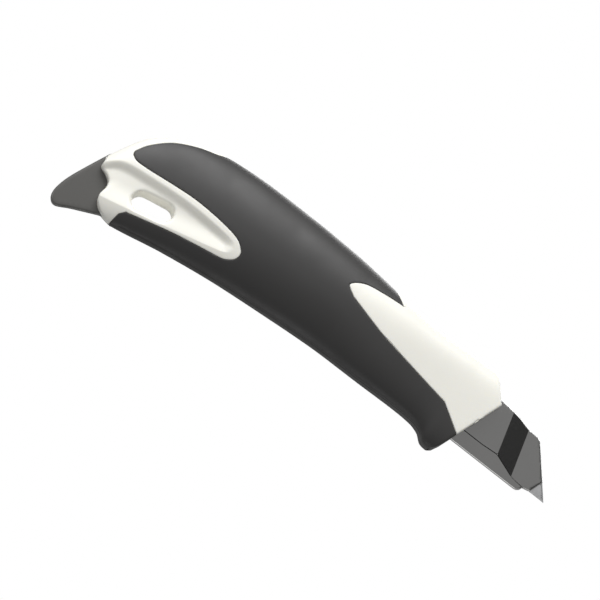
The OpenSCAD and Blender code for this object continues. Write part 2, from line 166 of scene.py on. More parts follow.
def lookup(table, s, column=None):
    """Table values at s, and at a fractional column if the table has columns."""
    i = np.clip((s - TABLE_S[0]) / TABLE_STEP, 0, len(TABLE_S) - 1.001)
    k, f = i.astype(int), i - i.astype(int)
    if column is None:
        return table[k] * (1 - f) + table[k + 1] * f
    c = np.clip(column, 0, table.shape[1] - 1.001)
    j, g = c.astype(int), c - c.astype(int)
    if table.ndim == 3:
        f, g = f[:, None], g[:, None]
    return (table[k, j] * (1 - f) + table[k + 1, j] * f) * (1 - g) + (
        table[k, j + 1] * (1 - f) + table[k + 1, j + 1] * f) * g


def unroll(line):
    """Side-view points (s, z) as flat points (s, v)."""
    s, z = np.asarray(line, float).T
    rise = np.clip((z - lookup(mid, s)) / lookup(half, s), -1, 1)
    angle = np.arcsin(np.sign(rise) * np.abs(rise) ** (lookup(square, s) / 2))
    share = lookup(share_at, s, (np.degrees(angle) + 90) / 180 * (len(TABLE_A) - 1))
    return np.stack([s, (share - lookup(mid_share, s)) * lookup(girth, s)], 1)


def on_body(flat):
    """Places (x, y, z) and normals on the left half of the body for flat points."""
    s, v = flat.T
    column = (v / lookup(girth, s) + lookup(mid_share, s)) * (len(SHARES) - 1)
    normal = lookup(skin_normal, s, column)
    normal /= np.linalg.norm(normal, axis=1)[:, None]
    return lookup(grid, s, column), normal


print("girth of the half body at its fullest:", round(girth.max(), 1), "mm")

# %% [markdown]
# Moulded pieces meet in a crisp line with a tiny radius on each side, and that line is what makes a
# model look made rather than drawn. Boolean cuts leave ragged triangles there. So each skin is meshed
# flat instead: its borders go in as fixed edges, rows of points follow them where the edge rounds over,
# and a constrained Delaunay fill joins the rest. A vertex knows its distance to each border, which gives
# the round edge, grooves and, later, wear.

# %% Mesh a flat region between borders
STEP, ON_BORDER = 0.55, 0.01
ROWS = (0.1, 0.35, 0.7, 1.0)
BATCH = 4000


def resample(line):
    """The line with points about STEP apart, its own points kept."""
    p = np.asarray(line, float)
    out = []
    for a, b in zip(p, p[1:]):
        n = max(1, int(np.ceil(np.linalg.norm(b - a) / STEP)))
        out.append(a + (b - a) * np.arange(n)[:, None] / n)
    out.append(p[-1:])
    return np.concatenate(out)


def distance(points, line):
    """Distance of each point to the nearest stretch of the line."""
    a, b = line[:-1], line[1:]
    d = b - a
    length = np.maximum((d**2).sum(1), 1e-12)
    out = np.empty(len(points))
    for i in range(0, len(points), BATCH):
        p = points[i:i + BATCH, None]
        t = np.clip(((p - a) * d).sum(2) / length, 0, 1)
        out[i:i + BATCH] = np.sqrt((((a + t[..., None] * d) - p) ** 2).sum(2)).min(1)
    return out


def inside(points, outline):
    """Which points lie inside the closed outline."""
    x, y = points.T
    p = np.asarray(outline, float)
    hit = np.zeros(len(points), bool)
    for (x1, y1), (x2, y2) in zip(p, np.roll(p, -1, 0)):
        if y1 != y2:
            hit ^= ((y1 > y) != (y2 > y)) & (x < (x2 - x1) * (y - y1) / (y2 - y1) + x1)
    return hit


def fill(borders, spacing):
    """Triangles over all the borders {name: (line, row reach)}; returns points, triangles and distances."""
    lines = {name: resample(line) for name, (line, _) in borders.items()}
    everything = np.concatenate(list(lines.values()))
    extra = []
    for name, (_, reach) in borders.items():
        line = lines[name]
        if reach == 0:
            continue
        middle, d = (line[:-1] + line[1:]) / 2, np.diff(line, axis=0)
        across = np.stack([-d[:, 1], d[:, 0]], 1) / np.maximum(np.linalg.norm(d, axis=1), 1e-9)[:, None]
        for r in ROWS:
            rows = np.concatenate([middle + across * r * reach, middle - across * r * reach])
            near = np.min([distance(rows, other) for other in lines.values()], 0)
            extra.append(rows[near > 0.8 * r * reach])
    low_corner, high_corner = everything.min(0), everything.max(0)
    u = np.arange(low_corner[0], high_corner[0], spacing)
    v = np.arange(low_corner[1], high_corner[1], spacing * 0.87)
    net = np.stack(np.meshgrid(u, v), 2)
    net[1::2, :, 0] += spacing / 2
    net = net.reshape(-1, 2)
    room = np.min([distance(net, lines[n]) - borders[n][1] for n in borders], 0)
    extra.append(net[room > 0.4 * spacing])
    points, edges = [], []
    for line in lines.values():
        edges += [(len(points) + i, len(points) + i + 1) for i in range(len(line) - 1)]
        points += list(line)
    points += list(np.concatenate(extra))
    made = geometry.delaunay_2d_cdt([Vector(p) for p in points], edges, [], 0, 1e-5, False)
    flat = np.array([tuple(p) for p in made[0]])
    triangles = np.array([f for f in made[2] if len(f) == 3])
    return flat, triangles, {name: distance(flat, line) for name, line in lines.items()}


def edge_drop(d, radius):
    """How far a rounded edge falls below the face, at distance d from the border."""
    e = np.clip(1 - d / radius, 0, 1)
    return radius * (1 - np.sqrt(1 - e**2))


def groove(d, width, depth):
    """Depth of a groove that is width wide, at distance d from its middle."""
    return depth * np.clip(1 - (2 * d / width) ** 2, 0, 1)


# %% [markdown]
# A skin becomes a piece when it gets edges with thickness. Each open border is drawn inward into a wall,
# straight across the knife at ends and holes, or along the normal at a seam, so a gap never shows an
# empty inside. The distance to the nearest border is stored on the mesh as "rim", for the materials.

# %% From flat mesh to a piece
PIECES = {}


def add_piece(name, mesh, nodes, body, slot, sharp):
    """Put a mesh in the scene, smooth but for sharp folds, in place of the CAD nodes named."""
    mesh.shade_smooth()
    mesh.set_sharp_from_angle(angle=math.radians(sharp))
    piece = bpy.data.objects.new(name, mesh)
    bpy.context.scene.collection.objects.link(piece)
    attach(piece, body)
    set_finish(piece, slot)
    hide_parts(*nodes)
    PIECES[name] = piece
    print(name, len(mesh.vertices), "points", len(mesh.polygons), "faces")


def build(name, parts, nodes, body, slot):
    """One piece from several (places, faces, rim) parts."""
    places, faces, rims, count = [], [], [], 0
    for p, f, rim in parts:
        places.append(p)
        faces += [tuple(int(i) + count for i in face) for face in f]
        rims.append(rim)
        count += len(p)
    mesh = bpy.data.meshes.new(name)
    mesh.from_pydata(to_frame(np.concatenate(places)).tolist(), [], faces)
    stored = mesh.attributes.new("rim", "FLOAT", "POINT").data
    stored.foreach_set("value", np.concatenate(rims).astype(np.float32))
    add_piece(name, mesh, nodes, body, slot, sharp=44)


def skin(flat, triangles, keep, places, inner, rim, side=1):
    """A part for build(): the kept triangles with a wall at every open border, on one side of the knife."""
    t = triangles[keep]
    edges = np.concatenate([t[:, [0, 1]], t[:, [1, 2]], t[:, [2, 0]]])
    key = np.sort(edges, 1)
    _, first, count = np.unique(key, axis=0, return_index=True, return_counts=True)
    open_edges = edges[first[count == 1]]
    used, index = np.unique(np.concatenate([t.ravel(), open_edges.ravel()]), return_inverse=True)
    t, open_edges = index[:t.size].reshape(t.shape), index[t.size:].reshape(open_edges.shape)
    border, back = np.unique(open_edges, return_inverse=True)
    back = back.reshape(open_edges.shape) + len(used)
    wall = np.stack([open_edges[:, 1], open_edges[:, 0], back[:, 0], back[:, 1]], 1)
    out = np.concatenate([places[used], inner[used][border]])
    faces = [tuple(f) for f in t] + [tuple(f) for f in wall]
    rims = np.concatenate([rim[used], np.zeros(len(border))])
    if side < 0:
        out = out * (1, -1, 1)
        faces = [f[::-1] for f in faces]
    return out, faces, rims


# %% [markdown]
# The side outlines are the same lines that the CAD model is cut along: the nose's front edge, the edge
# round the tail, the border between hard shell and soft grip, the hollow at the rear and the lanyard
# hole. They are kept in side view, as s and z, since that is how a designer would draw them.

# %% Side outlines of the handle
NOSE_EDGE = [(0.7, 30), (0.7, 28.2), (-1.4, 27), (-8.5, 18.3), (-2.2, 0.4), (0.3, -6.7), (1.8, -10),
             (3.5, -11.6), (3.5, -13)]
TAIL_EDGE = smooth([(151, -21), (151, -19), (153, -18.3), (156.2, -17.4), (159, -15.6), (160.5, -12.9),
                    (160.3, -9.2), (161.2, -6.4), (163.6, -4.6), (166.8, -3.1), (167.5, 0.6), (171, 8)], 8)
NOSE_BORDER = np.concatenate([
    [(-2.2, -1.8)],
    smooth([(9.6, 5.6), (26, 8.1), (44.8, 11.2), (61, 15.3)], 12),
    smooth([(61, 15.3), (65, 18.3), (60.4, 22.3), (52, 24.1), (43.6, 25.1)], 12),
    smooth([(43.6, 25.1), (49.5, 29.2), (55, 31), (62, 36)], 12)])
BACK_BORDER = np.concatenate([
    smooth([(124, 36), (133, 29), (142, 25.7), (151, 20.8), (157.5, 14), (160.3, 8.8)], 12),
    smooth([(160.3, 8.8), (159.3, 6.9), (154, 5.9), (131, 7.5), (112, 5.9), (105.4, 2.6), (104.9, -1),
            (108.2, -3.7), (112.6, -4.7)], 12),
    smooth([(112.6, -4.7), (129.5, -7.6), (148.5, -12.1)], 12),
    [(148.5, -12.1), (150.3, -14.2), (151.2, -21)]])
CREST = smooth([(107.4, 0.6), (109.8, -1.6), (114, -2.9), (131, -6.8), (149, -10.8), (157, -12.5),
                (160.6, -13.2)], 12)
HOLLOW_TOP = smooth([(168, -2.2), (164.6, 0.8), (160, 3.4), (150, 4.6), (131, 5.6), (112, 4.2), (107.6, 2.2),
                     (107.4, 0.6)], 12)
HOLLOW_ZONE = np.concatenate([HOLLOW_TOP, CREST, [(175, -13.2), (175, -2.2)]])
EYE_MIDDLE, EYE_TILT = (142.0, -4.3), math.radians(11)
EYE_LONG, EYE_HIGH = 17.0, 8.0


def slot_outline(middle, long, high, tilt=0.0, steps=14):
    """Closed outline of a slot with round ends, in side view."""
    turns = np.linspace(-math.pi / 2, math.pi / 2, steps)
    cap = np.stack([(long - high) / 2 + high / 2 * np.cos(turns), high / 2 * np.sin(turns)], 1)
    p = np.concatenate([cap, -cap])
    c, s = math.cos(tilt), math.sin(tilt)
    p = p @ np.array([[c, s], [-s, c]]) + middle
    return np.vstack([p, p[:1]])


EYE = slot_outline(EYE_MIDDLE, EYE_LONG, EYE_HIGH, -EYE_TILT)
GRIP_OUTLINE = np.concatenate([[(-14, -30), (-14, -1.8)], NOSE_BORDER, BACK_BORDER, [(151.2, -30)]])
BODY_OUTLINE = np.concatenate([NOSE_EDGE, [(3.5, -40), (151, -40)], TAIL_EDGE, [(173, 40), (0.7, 40)]])


def clip(line):
    """The stretch of a side-view line that lies on the body, with its ends just on the parting plane."""
    fine = resample(line)
    s, z = fine.T
    on = (z < lookup(top, s)) & (z > lookup(low, s))
    first, last = np.flatnonzero(on)[[0, -1]]
    fine = fine[max(first - 1, 0):last + 2].copy()
    fine[:, 1] = np.clip(fine[:, 1], lookup(low, fine[:, 0]), lookup(top, fine[:, 0]))
    return fine


border_long = np.linalg.norm(np.diff(NOSE_BORDER, axis=0), axis=1).sum()
print("grip border is", round(float(border_long), 1), "mm long at the nose")

# %% [markdown]
# The hollow behind the grip is a thumb rest. On the real shell it falls away quickly from the upper rim
# and rises slowly to a crest along the bottom, so the light grades across it. A depth made from the
# distance to the rim and the distance to the crest gives that: both go to zero at their own line.

# %% Depth of the body's skin
SEAM, PARTING, END, EYE_RIM, RECESS_RIM, HOLE_RIM = 0.42, 0.2, 0.7, 1.3, 0.5, 0.35
HOLLOW_DEPTH, HOLLOW_FALL, HOLLOW_RISE = 2.3, 3.6, 8.5
BELLY_BAND, SEAM_GROOVE, SEAM_DEEP = 3.4, 0.7, 0.16
RADIUS = {"nose_border": SEAM, "back_border": SEAM, "band": SEAM, "nose_edge": END, "tail_edge": END,
          "eye": EYE_RIM, "spine_line": PARTING, "belly_line": PARTING, "track": RECESS_RIM,
          "screw_0": HOLE_RIM, "screw_1": HOLE_RIM, "screw_2": HOLE_RIM}


def side_view(flat):
    """Flat points back in side view."""
    places, _ = on_body(flat)
    return np.stack([flat[:, 0], places[:, 2]], 1)


def hollow_depth(flat, gaps):
    """How deep the thumb rest is at each flat point."""
    rim = np.clip(gaps["hollow_top"] / HOLLOW_FALL, 0, 1)
    fall = rim ** 2 * (3 - 2 * rim)
    rise = np.sin(np.clip(gaps["crest"] / HOLLOW_RISE, 0, 1) * math.pi / 2)
    return np.where(inside(side_view(flat), HOLLOW_ZONE), HOLLOW_DEPTH * fall * rise, 0)


def skin_depth(flat, gaps):
    """Round edges, the thumb rest and the groove along the belly together."""
    depth = np.max([edge_drop(d, RADIUS[name]) for name, d in gaps.items() if name in RADIUS], 0)
    return depth + hollow_depth(flat, gaps) + groove(gaps["belly_seam"], SEAM_GROOVE, SEAM_DEEP)


# %% [markdown]
# Both halves of the handle share these borders. The left half also has the slider's track, a bare band
# of shell round it, and three screw holes. One flat mesh is made for each half, and the hard shell and
# the soft grip take their own triangles from it, so they meet along the same points.

# %% Borders of each half
TRACK_Z, TRACK_HIGH, BAND_HIGH = 11.5, 12.0, 15.2
SLIDER_X, CAP_LONG, TRAVEL, RETRACT, TRACK_ROOM = -132.0, 21.0, 60.0, 10.0, 4.0
track_ends = (SLIDER_X - RETRACT - CAP_LONG / 2 - TRACK_ROOM, SLIDER_X + TRAVEL + CAP_LONG / 2 + TRACK_ROOM)
track_s = [NOSE_X - x for x in track_ends]
TRACK = slot_outline((sum(track_s) / 2, TRACK_Z), track_s[0] - track_s[1], TRACK_HIGH)
BAND_ROUND, BAND_FROM = 3, -6
bend_s = track_s[0] + 2 - BAND_ROUND
band_low, band_high = TRACK_Z - BAND_HIGH / 2, TRACK_Z + BAND_HIGH / 2
quarter = [(BAND_ROUND * math.sin(a), BAND_ROUND * math.cos(a)) for a in np.linspace(0, math.pi / 2, 8)]
BAND = np.concatenate([
    [(BAND_FROM, band_low)],
    [(bend_s + across, band_low + BAND_ROUND - along) for across, along in quarter],
    [(bend_s + along, band_high - BAND_ROUND + across) for across, along in quarter],
    [(BAND_FROM, band_high)]])
SCREWS = [(20, 24.6), (84, 26.2), (131, 17)]
SCREW_HOLE = 2.8
PARTING_FROM, PARTING_TO = -9.0, 172.0
SEAM_FROM, SEAM_TO = 9, 148
FREE_REACH = 0.8


def circle(middle, radius, steps=28):
    turns = np.linspace(0, 2 * math.pi, steps + 1)
    return np.stack([middle[0] + radius * np.cos(turns), middle[1] + radius * np.sin(turns)], 1)


def half_borders(left):
    """The borders of one half as flat lines, each with the reach of its rows of points."""
    s = np.arange(PARTING_FROM, PARTING_TO, 0.6)
    share = lookup(mid_share, s)
    lines = {
        "nose_edge": clip(NOSE_EDGE), "tail_edge": clip(TAIL_EDGE), "nose_border": clip(NOSE_BORDER),
        "back_border": clip(BACK_BORDER), "hollow_top": clip(HOLLOW_TOP), "crest": clip(CREST), "eye": EYE}
    if left:
        lines |= {"track": TRACK, "band": BAND}
        lines |= {f"screw_{i}": circle(p, SCREW_HOLE) for i, p in enumerate(SCREWS)}
    flat = {name: (unroll(resample(line)), RADIUS.get(name, FREE_REACH)) for name, line in lines.items()}
    flat["spine_line"] = np.stack([s, (1 - share) * lookup(girth, s)], 1), PARTING
    flat["belly_line"] = np.stack([s, -share * lookup(girth, s)], 1), PARTING
    under = (s > SEAM_FROM) & (s < SEAM_TO)
    flat["belly_seam"] = flat["belly_line"][0][under] + (0, BELLY_BAND), SEAM_GROOVE / 2
    return flat


SPACING = 0.8
HALVES = {}
for side, left in (("right", False), ("left", True)):
    flat, triangles, gaps = fill(half_borders(left), SPACING)
    middles = side_view(flat[triangles].mean(1))
    HALVES[side] = flat, triangles, gaps, middles
    print(side, "half:", len(flat), "points", len(triangles), "triangles")

# %% [markdown]
# The walls at the open borders differ: at a seam they go 1.2 mm down into the grip's bed, at the ends of
# the handle they go straight across to the sheath or the tail plate, in the lanyard hole to the middle of
# the knife, and in the track down to the floor that the slider glides on.

# %% Hard shells and soft grips
BED, SLACK, RIM_REACH = 1.2, 0.04, 0.9
SHEATH_HALF, TAIL_HALF, FLOOR_Y, SCREW_SEAT = 2.3, 1.5, 7.5, 5.8
TAIL_PLATE = np.concatenate([
    smooth([(167.4, 3), (172.2, -8.6), (174.6, -15.5), (175.4, -21), (174.4, -24.3), (171.5, -25.6),
            (166, -22.8), (156.6, -18.4)], 8),
    [(156.6, -18.4), (150, -15.8), (134, -11.5), (128.8, -7), (128.8, 3), (133, 8), (158, 9), (165, 6)]])


def walls(flat, gaps, places, normals):
    """Where each border point's wall ends, inside the knife."""
    out = places - normals * BED
    x, y, z = places.T
    across = np.zeros(len(places))
    at = {name: d < ON_BORDER for name, d in gaps.items()}
    across[at["nose_edge"] & (z < SHEATH_TOP) & (z > SHEATH_LOW)] = SHEATH_HALF + SLACK
    across[at["tail_edge"] & inside(np.stack([NOSE_X - x, z], 1), TAIL_PLATE)] = TAIL_HALF + SLACK
    straight = at["nose_edge"] | at["tail_edge"] | at["eye"]
    for name in gaps:
        if name == "track" or name.startswith("screw"):
            across[at[name]] = FLOOR_Y if name == "track" else SCREW_SEAT
            straight |= at[name]
    out[straight] = np.stack([x, np.minimum(across, y), z], 1)[straight]
    return out


def half_skin(side, material):
    """The part of one half that is hard shell or soft grip."""
    flat, triangles, gaps, middles = HALVES[side]
    places, normals = on_body(flat)
    depth = skin_depth(flat, gaps)
    inner = walls(flat, gaps, places, normals)
    rim = np.exp(-np.min([d for n, d in gaps.items() if n in RADIUS and "line" not in n], 0) / RIM_REACH)
    s, v = flat[triangles].mean(1).T
    belly = -lookup(mid_share, s) * lookup(girth, s)
    body = (v > belly) & (v < belly + lookup(girth, s))
    body &= inside(middles, BODY_OUTLINE) & ~inside(middles, EYE)
    grip = inside(middles, GRIP_OUTLINE)
    if side == "left":
        grip &= ~inside(middles, BAND)
        body &= ~inside(middles, TRACK)
        for spot in SCREWS:
            body &= ~inside(middles, circle(spot, SCREW_HOLE))
    keep = body & (grip if material == "grip" else ~grip)
    places = places - normals * depth[:, None]
    return skin(flat, triangles, keep, places, inner, rim, -1 if side == "right" else 1)


for side in ("right", "left"):
    build(f"{side}_grip_skin", [half_skin(side, "grip")], [f"{side}_grip"], "handle", "grip_elastomer")
build("right_shell_moulding", [half_skin("right", "shell")], ["right_shell"], "handle", "shell_plastic")

# %% [markdown]
# Pieces made from plate or sheet, such as the sheath, the blade and the tail plate, are simpler: seen
# from the side they are an outline with a thickness that changes in places. The same fill works for
# them, with x turned round so that its first coordinate grows towards the rear like s does. The first
# border is always the outline, and the others are folds, scores or a hole.

# %% Flat pieces
FOLD_REACH, PLATE_RIM_REACH, THINNEST = 0.25, 0.6, 0.01


def each(rule, x, *more):
    """What a rule gives at each point: the rule is a function or one number for all."""
    return rule(x, *more) if callable(rule) else np.full(len(x), float(rule))


def plate(borders, radius, thickness, ends, side, spacing=1.5, hole=None, relief=None, origin=0.0):
    """A flat part: borders {name: line}, thickness(x, z) from the middle, and where its walls end."""
    lines = {name: (line, radius.get(name, FOLD_REACH if "bend" in name else 0))
             for name, line in borders.items()}
    flat, triangles, gaps = fill(lines, spacing)
    x, z = origin - flat[:, 0], flat[:, 1]
    drop = np.max([edge_drop(gaps[name], r) for name, r in radius.items()], 0)
    y = each(thickness, x, z)
    if relief is not None:
        y = y + relief(x, z, gaps)
    places = np.stack([x, y - np.minimum(drop, np.maximum(y - THINNEST, 0)), z], 1)
    inner = np.stack([x, np.minimum(each(ends, x, z, gaps), places[:, 1]), z], 1)
    middles = flat[triangles].mean(1)
    keep = inside(middles, next(iter(borders.values())))
    if hole in borders:
        keep &= ~inside(middles, borders[hole])
    rim = np.exp(-np.min([gaps[name] for name in radius], 0) / PLATE_RIM_REACH)
    return skin(flat, triangles, keep, places, inner, rim, side)


def closed(points):
    """The line with its first point again at the end."""
    p = np.asarray(points, float)
    return np.vstack([p, p[:1]])


# %% [markdown]
# The left shell's track has a floor that the slider glides on, with a slot for its neck. The floor is its
# own flat part in the same object, at the depth where the track's walls end.

# %% Left shell with the slider's track
SLOT_HIGH, NECK_LONG, NECK_HIGH, FLOOR_UNDER = 4.4, 14.0, 4.0, 6.0
slot_s = [NOSE_X - (SLIDER_X + TRAVEL + NECK_LONG / 2 + 1), NOSE_X - (SLIDER_X - RETRACT - NECK_LONG / 2 - 1)]
SLOT = slot_outline((sum(slot_s) / 2, TRACK_Z), slot_s[1] - slot_s[0] + 1.6, SLOT_HIGH)
track_floor = plate({"track": TRACK, "slot": SLOT}, {"slot": 0.4}, FLOOR_Y, FLOOR_UNDER, 1, hole="slot",
                    origin=NOSE_X)
build("left_shell_moulding", [half_skin("left", "shell"), track_floor], ["left_shell"], "handle",
      "shell_plastic")

# %% [markdown]
# The sheath is one sheet of steel folded round the blade: a thick channel for the carriage, a sloping
# bend, and a thin nose that grips the blade close to its point. A folded strip runs along the bottom,
# and a fine dark gap shows where it meets the side. The bend is drawn as three planes with a crisp line
# between them, and the gap as a narrow groove along that line.

# %% Sheath
END_SLOPE = math.tan(math.radians(50))
CHANNEL_LOW, CHANNEL_HALF, FRONT_HALF, THROAT_HALF, THROAT_REAR = 2.9, 1.5, 1.15, 0.35, -17
BLADE_HIGH = 18.0
BEND_REAR = [(-25.2, 3.3), (-29.5, 19.1)]
BEND_FRONT = [(-16.0, 0.2), (-21.0, 18.3)]
SHEATH_REAR = NOSE_X - 126
GAP_WIDE, GAP_DEEP = 0.34, 0.5


def blade_end(z):
    """The slanted end of the blade and of the sheath's nose at the height z."""
    return -z / END_SLOPE


def edge_x(line, z):
    """Where a straight side-view line crosses the height z."""
    (x1, z1), (x2, z2) = line
    return x1 + (x2 - x1) * (z - z1) / (z2 - z1)


foot = [(-12.4 + 2.4 * math.cos(a), SHEATH_LOW + 2.2 + 2.2 * math.sin(a))
        for a in np.radians([-90, -60, -30, 0])]
SHEATH_OUTLINE = np.array([
    (SHEATH_REAR, SHEATH_LOW), *foot, (-6.9, 0.2), (blade_end(5.9), 5.9), (blade_end(BLADE_HIGH), BLADE_HIGH),
    (-16.6, BLADE_HIGH + 0.7), (-21.2, BLADE_HIGH + 0.9), (-26.1, SHEATH_TOP - 1.1),
    (-32.2, SHEATH_TOP - 0.4), (-37.5, SHEATH_TOP), (SHEATH_REAR, SHEATH_TOP)])
GAP_LINE = np.array([(SHEATH_REAR, CHANNEL_LOW), (-32, CHANNEL_LOW), (-25.4, 3.4), (-16.1, 0.1),
                     (-12.5, -0.3), (-9.9, -0.5)])


def to_back(points):
    """Side-view points (x, z) with x turned round."""
    return np.asarray(points, float) * (-1, 1)


def sheath_half(x, z):
    """Half the sheath's outside thickness."""
    rear, front = edge_x(BEND_REAR, z), edge_x(BEND_FRONT, z)
    share = np.clip((x - rear) / (front - rear), 0, 1)
    side = SHEATH_HALF + (FRONT_HALF - SHEATH_HALF) * share
    strip = FRONT_HALF + (SHEATH_HALF - FRONT_HALF) * (z - SHEATH_LOW) / (CHANNEL_LOW - SHEATH_LOW)
    below = z < np.interp(x, GAP_LINE[:, 0], GAP_LINE[:, 1])
    return np.where(below, np.minimum(strip, SHEATH_HALF), side)


def sheath_ends(x, z, gaps):
    """The sheath is closed along its top and bottom, and open where the blade comes out and at the slot."""
    slit = (z > 0.3) & (z < BLADE_HIGH - 0.05) & (x > THROAT_REAR)
    at_slot = gaps["slot"] < ON_BORDER if "slot" in gaps else False
    return np.where(slit, THROAT_HALF, 0) + np.where(at_slot, CHANNEL_HALF, 0)


BOSS_HALF, BOSS_SLOT_HALF = 11.0, 2.9
slot_ends = -SLIDER_X - TRAVEL - BOSS_HALF, -SLIDER_X + RETRACT + BOSS_HALF
BOSS_SLOT = closed([(x, TRACK_Z + z) for x, z in zip(
    (*slot_ends, *slot_ends[::-1]), BOSS_SLOT_HALF * np.array([-1, -1, 1, 1]))])
sheath_sides = []
for side in (1, -1):
    lines = {
        "outline": closed(to_back(SHEATH_OUTLINE)), "gap": to_back(GAP_LINE),
        "bend_rear": to_back([(edge_x(BEND_REAR, 3.5), 3.5), (edge_x(BEND_REAR, SHEATH_TOP), SHEATH_TOP)]),
        "bend_front": to_back([BEND_FRONT[0], (edge_x(BEND_FRONT, SHEATH_TOP), SHEATH_TOP)])}
    if side > 0:
        lines["slot"] = BOSS_SLOT
    sheath_sides.append(plate(
        lines, {"outline": 0.4, "gap": GAP_WIDE / 2}, sheath_half, sheath_ends, side, 1.2, hole="slot",
        relief=lambda x, z, gaps: -groove(gaps["gap"], GAP_WIDE, GAP_DEEP)))
build("folded_sheath", sheath_sides, ["blade_sheath"], "handle", "sheath_steel")

# %% [markdown]
# The blade is a ground strip of tool steel. Only its point shows at rest, and half of it when it is run
# out, so it has the two ground bevels and, on its right face, the score lines along which a blunt
# segment snaps off.

# %% Blade
BLADE_HALF, BLADE_LONG, SEGMENT, BEVEL_HIGH, EDGE_HALF = 0.25, 100.0, 10.0, 2.2, 0.03
SCORE_WIDE, SCORE_DEEP, BLADE_SPACING = 0.34, 0.1, 0.9
BLADE_OUTLINE = closed(to_back([(0, 0), (blade_end(BLADE_HIGH), BLADE_HIGH), (-BLADE_LONG, BLADE_HIGH),
                                (-BLADE_LONG, 0)]))
SCORES = {f"score_{k}": to_back([(-k * SEGMENT, 0), (blade_end(BLADE_HIGH) - k * SEGMENT, BLADE_HIGH)])
          for k in range(1, int(BLADE_LONG / SEGMENT) - 1)}


def blade_half(x, z):
    return np.interp(z, [0, BEVEL_HIGH], [EDGE_HALF, BLADE_HALF])


def scored(x, z, gaps):
    return -np.sum([groove(d, SCORE_WIDE, SCORE_DEEP) for n, d in gaps.items() if n.startswith("score")], 0)


blade_lines = {"outline": BLADE_OUTLINE,
               "bevel": to_back([(blade_end(BEVEL_HIGH), BEVEL_HIGH), (-BLADE_LONG, BEVEL_HIGH)])}
blade_edges = {"outline": 0.02}
score_edges = {name: SCORE_WIDE / 2 * 1e-3 for name in SCORES}
blade_sides = [
    plate(blade_lines, blade_edges, blade_half, 0, 1, BLADE_SPACING),
    plate(blade_lines | SCORES, blade_edges | score_edges, blade_half, 0, -1, BLADE_SPACING, relief=scored)]
build("scored_blade", blade_sides, ["snap_blade"], "carriage", "blade_steel")

# %% [markdown]
# The tail plate is 3 mm steel with all its edges well rounded, because it is held, levered with and
# dropped. It is one outline with a generous radius on both sides.

# %% Tail plate
TAIL_EDGE_ROUND, COLLAR = 0.95, 1.33
EYE_HOLE = slot_outline(EYE_MIDDLE, EYE_LONG + 2 * COLLAR, EYE_HIGH + 2 * COLLAR, -EYE_TILT)
tail_sides = [
    plate({"outline": closed(TAIL_PLATE), "eye": EYE_HOLE}, {"outline": TAIL_EDGE_ROUND, "eye": 0.2},
          TAIL_HALF, 0, side, 1.2, hole="eye", origin=NOSE_X) for side in (1, -1)]
build("pry_plate", tail_sides, ["tail_fin"], "handle", "tail_steel")

# %% [markdown]
# The thumb slider is a low cap, dished for the thumb, with a soft ribbed insert let into its top. Its
# height follows one formula along the knife. The insert takes the same height and adds rounded ribs, so
# the two always match.

# %% Thumb slider
CAP_HIGH, CAP_WIDE, CAP_FOOT = 4.6, 10.6, FLOOR_Y + 0.1
INSERT_LONG, INSERT_WIDE = 16.0, 7.6
RIBS, RIB_HIGH, RIB_HALF, RIB_FOOT = 6, 0.6, 0.95, 0.12
PLATE_TOP = 3.63
DISH, SLOPE, CROWN = 1.5, 0.9, 0.3


def round_box(long, high, radius, steps=7):
    """Closed rectangle with round corners, round the slider's middle."""
    turns = np.linspace(0, math.pi / 2, steps)
    arc = [(long / 2 - radius + radius * math.cos(a), high / 2 - radius + radius * math.sin(a))
           for a in turns]
    p = arc + [(-x, z) for x, z in arc[::-1]]
    p = p + [(-x, -z) for x, z in p]
    return closed(np.array(p) + (-SLIDER_X, TRACK_Z))


def cap_top(x, z):
    """Height of the cap's top: it slopes forward, with a dish for the thumb."""
    t = (x - SLIDER_X) / CAP_LONG + 0.5
    across = (z - TRACK_Z) / (CAP_WIDE / 2)
    return CAP_FOOT + CAP_HIGH - DISH * np.sin(np.pi * t) ** 2 - SLOPE * t - CROWN * across**2


def ribs(x, z, gaps):
    places = SLIDER_X + (np.linspace(0.17, 0.83, RIBS) - 0.5) * CAP_LONG
    wave = np.max([np.cos(np.clip((x - p) / RIB_HALF, -1, 1) * math.pi / 2) for p in places], 0)
    return RIB_HIGH * wave * np.clip((gaps["insert"] - 0.35) / 0.7, 0, 1) + RIB_FOOT


CAP_OUTLINE, INSERT_OUTLINE = round_box(CAP_LONG, CAP_WIDE, 2.8), round_box(INSERT_LONG, INSERT_WIDE, 1.8)
NECK_OUTLINE = round_box(NECK_LONG, NECK_HIGH, 1.2)
cap_part = plate(
    {"cap": CAP_OUTLINE, "insert": INSERT_OUTLINE}, {"cap": 1.2, "insert": 0.3}, cap_top,
    lambda x, z, gaps: np.where(gaps["cap"] < ON_BORDER, CAP_FOOT, cap_top(x, z) - 1), 1, 0.7, hole="insert")
neck_part = plate({"neck": NECK_OUTLINE}, {"neck": 0.1}, CAP_FOOT + 0.5, PLATE_TOP, 1)
insert_part = plate({"insert": INSERT_OUTLINE}, {"insert": 0.3}, cap_top,
                    lambda x, z, gaps: cap_top(x, z) - 0.9, 1, 0.35, relief=ribs)
build("slider_cap", [cap_part, neck_part], ["thumb_slider"], "thumb", "slider_plastic")
build("slider_insert", [insert_part], ["slider_ribs"], "thumb", "slider_elastomer")

# %% [markdown]
# The pieces inside are turned, stamped or moulded to simple shapes, and the CAD model's own forms are
# right for them. What a CAD form lacks is the broken edge that every real one has, so each is copied,
# its flat faces are joined up again, and its edges get a small bevel.

# %% Inner pieces with broken edges
FOLD_ANGLE = math.radians(35)


